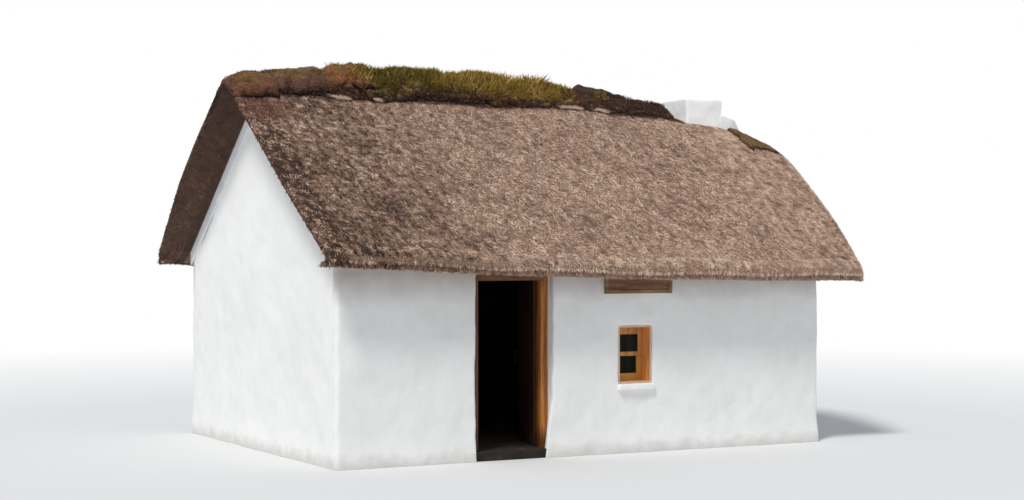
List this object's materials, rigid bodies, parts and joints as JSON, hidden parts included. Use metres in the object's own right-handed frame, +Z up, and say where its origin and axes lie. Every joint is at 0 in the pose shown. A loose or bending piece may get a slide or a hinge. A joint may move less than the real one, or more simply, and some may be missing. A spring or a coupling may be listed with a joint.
{
  "type": "turf-ridged thatched cottage",
  "caption": "Small whitewashed cottage with a thatched roof, turf sods along the ridge, a half-hipped right end, a chimney, a sash window and a plank door that opens inwards.",
  "frame": {"origin": "middle of the whole house's outline, on the ground", "axes": "+X along the front from the left gable to the chimney end, front facing -Y, +Z up"},
  "size_m": [7.24, 5.44, 4.516],
  "materials": {
    "whitewash": "matte lime wash on rough render",
    "earth": "worn packed earth",
    "varnish": "weathered orange-brown varnish",
    "old_timber": "rough, smoke-darkened",
    "iron": "matte black, worn",
    "window_glass": "clear",
    "thatch": "matte weathered reed",
    "brown_turf": "matte dry sods",
    "grassy_turf": "sods with short grass and moss",
    "dark_turf": "matte dark peat sods",
    "painted_board": "chalky white paint",
    "sign_wood": "dark stained"
  },
  "bodies": {
    "house": {"left_gable_wall": "whitewash", "right_gable_wall": "whitewash", "front_wall_left": "whitewash", "front_wall_right": "whitewash", "front_wall_over_door": "whitewash", "back_wall": "whitewash", "front_window_sill": "whitewash", "back_window_sill": "whitewash", "chimney_stack": "whitewash", "chimney_haunch": "whitewash", "floor": "earth", "threshold": "earth", "door_posts": "varnish", "door_head": "varnish", "front_window_frame": "varnish", "front_window_sashes": "varnish", "back_window_frame": "varnish", "back_window_sashes": "varnish", "door_lintel": "old_timber", "wall_plates": "old_timber", "rafters_front": "old_timber", "rafters_back": "old_timber", "collar_ties": "old_timber", "purlins_front": "old_timber", "purlins_back": "old_timber", "ridge_pole": "old_timber", "door_pintles": "iron", "front_window_glass": "window_glass", "back_window_glass": "window_glass", "thatch_front": "thatch", "thatch_back": "thatch", "thatch_right_front": "thatch", "thatch_right_back": "thatch", "ridge_sods_left": "brown_turf", "ridge_sods_middle": "grassy_turf", "ridge_sods_right": "dark_turf", "hip_sod": "dark_turf", "barge_boards": "painted_board", "sign_board": "sign_wood", "sign_frame": "sign_wood"},
    "door": {"door_boards": "varnish", "door_ledges": "varnish", "door_straps": "iron", "door_latch": "iron"}
  },
  "joints": [
    {"name": "door_hinge", "type": "hinge", "parent": "house", "child": "door", "pos_m": [-0.655, -2.014, 1], "axis": [0, 0, 1], "range_deg": [0, 107]}
  ]
}
